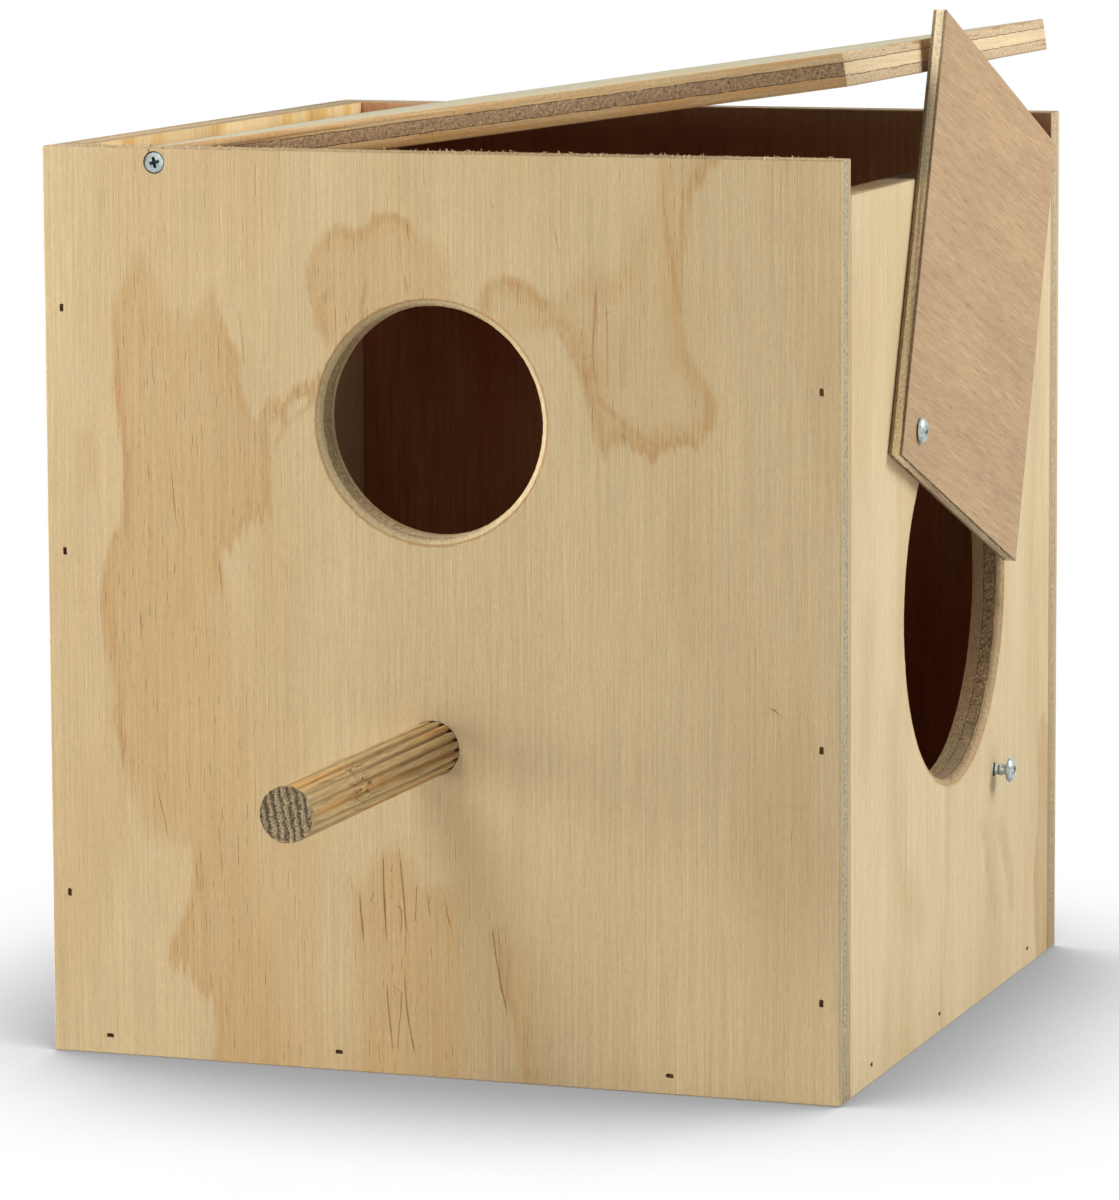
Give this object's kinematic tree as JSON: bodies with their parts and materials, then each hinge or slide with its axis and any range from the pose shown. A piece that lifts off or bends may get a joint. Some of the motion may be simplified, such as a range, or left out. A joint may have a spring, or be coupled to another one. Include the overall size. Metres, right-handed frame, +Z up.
{
  "type": "parakeet nest box",
  "caption": "Plywood nest box with a round entrance above a fluted dowel perch, a lid that pivots on two screws, and a square door that swings on one screw off a round side hole.",
  "frame": {"origin": "centre of the base's underside, at the middle of the four walls' outer faces", "axes": "+X to the box's right seen from the front, the side with the inspection door; +Y from the front panel to the back panel; +Z up"},
  "size_m": [0.2322, 0.331, 0.2855],
  "materials": {
    "pine_plywood": "bare sanded softwood plywood",
    "hardwood_plywood": "bare thin plywood with pinkish hardwood faces",
    "dowel_wood": "bare weathered pine dowel",
    "zinc_plated_steel": "bright zinc plating",
    "brad_wire": "bright wire"
  },
  "bodies": {
    "box": {"front_panel": "pine_plywood", "back_panel": "pine_plywood", "left_panel": "pine_plywood", "right_panel": "pine_plywood", "floor_panel": "pine_plywood", "perch": "dowel_wood", "lid_screw_front": "zinc_plated_steel", "lid_screw_back": "zinc_plated_steel", "door_pivot_screw": "zinc_plated_steel", "door_stop_screw": "zinc_plated_steel", "front_left_brad_1": "brad_wire", "front_left_brad_2": "brad_wire", "front_left_brad_3": "brad_wire", "front_right_brad_1": "brad_wire", "front_right_brad_2": "brad_wire", "front_right_brad_3": "brad_wire", "front_floor_brad_1": "brad_wire", "front_floor_brad_2": "brad_wire", "front_floor_brad_3": "brad_wire", "back_left_brad_1": "brad_wire", "back_left_brad_2": "brad_wire", "back_left_brad_3": "brad_wire", "back_right_brad_1": "brad_wire", "back_right_brad_2": "brad_wire", "back_right_brad_3": "brad_wire", "back_floor_brad_1": "brad_wire", "back_floor_brad_2": "brad_wire", "back_floor_brad_3": "brad_wire", "left_floor_brad_1": "brad_wire", "left_floor_brad_2": "brad_wire", "left_floor_brad_3": "brad_wire", "right_floor_brad_1": "brad_wire", "right_floor_brad_2": "brad_wire", "right_floor_brad_3": "brad_wire"},
    "lid": {"lid": "pine_plywood"},
    "door": {"inspection_door": "hardwood_plywood"}
  },
  "joints": [
    {"name": "lid_hinge", "type": "hinge", "parent": "box", "child": "lid", "pos_m": [-0.0802, 0, 0.246], "axis": [0, -1, 0], "range_deg": [-8.2, 151]},
    {"name": "door_swing", "type": "hinge", "parent": "box", "child": "door", "pos_m": [0.113, -0.05188, 0.17323], "axis": [1, 0, 0], "range_deg": [-65.8, 276]}
  ]
}
